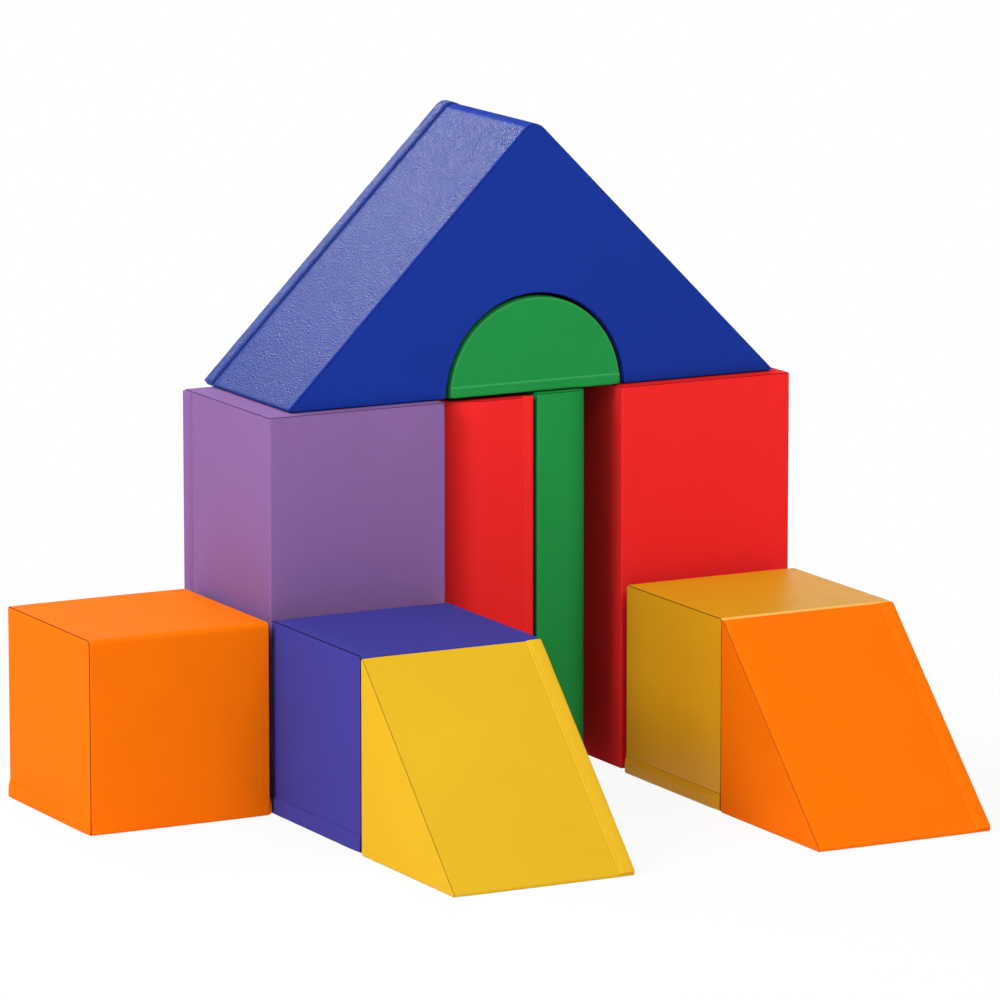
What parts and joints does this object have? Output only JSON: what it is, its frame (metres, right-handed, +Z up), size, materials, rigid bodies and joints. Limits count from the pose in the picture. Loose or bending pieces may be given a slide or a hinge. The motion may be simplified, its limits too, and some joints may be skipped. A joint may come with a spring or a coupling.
{
  "type": "soft-play block house",
  "caption": "Toy house stacked from soft foam blocks in zipped covers: cubes, wedges, columns, an arched roof and a half disc that lift or slide apart.",
  "frame": {"origin": "on the floor, under the middle of the whole set's box", "axes": "+X along the house front to the right, +Y from front to back, +Z up"},
  "size_m": [1.0242, 0.796, 0.8524],
  "materials": {
    "blue_cover": "satin",
    "green_cover": "satin",
    "purple_cover": "satin",
    "red_cover": "satin",
    "orange_cover": "satin",
    "indigo_cover": "satin",
    "yellow_cover": "satin",
    "foam": "matte",
    "zip_tape": "matte",
    "slider_metal": "satin"
  },
  "bodies": {
    "purple_column": {"purple_column_foam": "foam", "purple_column_wrap": "purple_cover", "purple_column_end_panels": "purple_cover", "purple_column_zip": "zip_tape"},
    "purple_column_slider": {"purple_column_zip_slider": "slider_metal"},
    "red_column": {"red_column_foam": "foam", "red_column_wrap": "red_cover", "red_column_end_panels": "red_cover", "red_column_zip": "zip_tape"},
    "red_column_slider": {"red_column_zip_slider": "slider_metal"},
    "red_post": {"red_post_foam": "foam", "red_post_wrap": "red_cover", "red_post_end_panels": "red_cover", "red_post_zip": "zip_tape"},
    "red_post_slider": {"red_post_zip_slider": "slider_metal"},
    "green_plank": {"green_plank_foam": "foam", "green_plank_wrap": "green_cover", "green_plank_end_panels": "green_cover", "green_plank_zip": "zip_tape"},
    "green_plank_slider": {"green_plank_zip_slider": "slider_metal"},
    "orange_cube": {"orange_cube_foam": "foam", "orange_cube_wrap": "orange_cover", "orange_cube_end_panels": "orange_cover", "orange_cube_zip": "zip_tape"},
    "orange_cube_slider": {"orange_cube_zip_slider": "slider_metal"},
    "indigo_cube": {"indigo_cube_foam": "foam", "indigo_cube_wrap": "indigo_cover", "indigo_cube_end_panels": "indigo_cover", "indigo_cube_zip": "zip_tape"},
    "indigo_cube_slider": {"indigo_cube_zip_slider": "slider_metal"},
    "yellow_cube": {"yellow_cube_foam": "foam", "yellow_cube_wrap": "yellow_cover", "yellow_cube_end_panels": "yellow_cover", "yellow_cube_zip": "zip_tape"},
    "yellow_cube_slider": {"yellow_cube_zip_slider": "slider_metal"},
    "yellow_wedge": {"yellow_wedge_foam": "foam", "yellow_wedge_wrap": "yellow_cover", "yellow_wedge_end_panels": "yellow_cover", "yellow_wedge_zip": "zip_tape"},
    "yellow_wedge_slider": {"yellow_wedge_zip_slider": "slider_metal"},
    "orange_wedge": {"orange_wedge_foam": "foam", "orange_wedge_wrap": "orange_cover", "orange_wedge_end_panels": "orange_cover", "orange_wedge_zip": "zip_tape"},
    "orange_wedge_slider": {"orange_wedge_zip_slider": "slider_metal"},
    "blue_roof": {"blue_roof_foam": "foam", "blue_roof_wrap": "blue_cover", "blue_roof_end_panels": "blue_cover", "blue_roof_zip": "zip_tape", "blue_roof_arch_lining": "blue_cover"},
    "blue_roof_slider": {"blue_roof_zip_slider": "slider_metal"},
    "green_half_disc": {"green_half_disc_foam": "foam", "green_half_disc_wrap": "green_cover", "green_half_disc_end_panels": "green_cover", "green_half_disc_zip": "zip_tape"},
    "green_half_disc_slider": {"green_half_disc_zip_slider": "slider_metal"}
  },
  "joints": [
    {"name": "roof_lift", "type": "slide", "parent": "purple_column", "child": "blue_roof", "axis": [0, 0, 1], "range_m": [0, 0.3]},
    {"name": "half_disc_pull", "type": "slide", "parent": "purple_column", "child": "green_half_disc", "axis": [0, -1, 0], "range_m": [0, 0.3]},
    {"name": "red_column_slide", "type": "slide", "parent": "purple_column", "child": "red_column", "axis": [1, 0, 0], "range_m": [0, 0.15]},
    {"name": "red_post_slide", "type": "slide", "parent": "purple_column", "child": "red_post", "axis": [0, 1, 0], "range_m": [0, 0.3]},
    {"name": "green_plank_slide", "type": "slide", "parent": "purple_column", "child": "green_plank", "axis": [0, 1, 0], "range_m": [0, 0.3]},
    {"name": "orange_cube_lift", "type": "slide", "parent": "purple_column", "child": "orange_cube", "axis": [0, 0, 1], "range_m": [0, 0.25]},
    {"name": "indigo_cube_lift", "type": "slide", "parent": "purple_column", "child": "indigo_cube", "axis": [0, 0, 1], "range_m": [0, 0.25]},
    {"name": "yellow_cube_lift", "type": "slide", "parent": "purple_column", "child": "yellow_cube", "axis": [0, 0, 1], "range_m": [0, 0.25]},
    {"name": "yellow_wedge_lift", "type": "slide", "parent": "purple_column", "child": "yellow_wedge", "axis": [0, 0, 1], "range_m": [0, 0.25]},
    {"name": "orange_wedge_lift", "type": "slide", "parent": "purple_column", "child": "orange_wedge", "axis": [0, 0, 1], "range_m": [0, 0.25]},
    {"name": "purple_column_zip_run", "type": "slide", "parent": "purple_column", "child": "purple_column_slider", "axis": [0, 0, 1], "range_m": [0, 0.46]},
    {"name": "red_column_zip_run", "type": "slide", "parent": "red_column", "child": "red_column_slider", "axis": [0, 0, 1], "range_m": [0, 0.46]},
    {"name": "red_post_zip_run", "type": "slide", "parent": "red_post", "child": "red_post_slider", "axis": [0, 0, 1], "range_m": [0, 0.459]},
    {"name": "green_plank_zip_run", "type": "slide", "parent": "green_plank", "child": "green_plank_slider", "axis": [0, 0, 1], "range_m": [0, 0.46]},
    {"name": "orange_cube_zip_run", "type": "slide", "parent": "orange_cube", "child": "orange_cube_slider", "axis": [0, 1, 0], "range_m": [0, 0.194]},
    {"name": "indigo_cube_zip_run", "type": "slide", "parent": "indigo_cube", "child": "indigo_cube_slider", "axis": [0, 1, 0], "range_m": [0, 0.194]},
    {"name": "yellow_cube_zip_run", "type": "slide", "parent": "yellow_cube", "child": "yellow_cube_slider", "axis": [0, 1, 0], "range_m": [0, 0.194]},
    {"name": "yellow_wedge_zip_run", "type": "slide", "parent": "yellow_wedge", "child": "yellow_wedge_slider", "axis": [0, 0.7071, 0.7071], "range_m": [0, 0.298]},
    {"name": "orange_wedge_zip_run", "type": "slide", "parent": "orange_wedge", "child": "orange_wedge_slider", "axis": [0, 0.7071, 0.7071], "range_m": [0, 0.298]},
    {"name": "blue_roof_zip_run", "type": "slide", "parent": "blue_roof", "child": "blue_roof_slider", "axis": [0.7071, 0, 0.7071], "range_m": [0, 0.43]},
    {"name": "green_half_disc_zip_run", "type": "slide", "parent": "green_half_disc", "child": "green_half_disc_slider", "axis": [1, 0, 0], "range_m": [0, 0.199]}
  ]
}
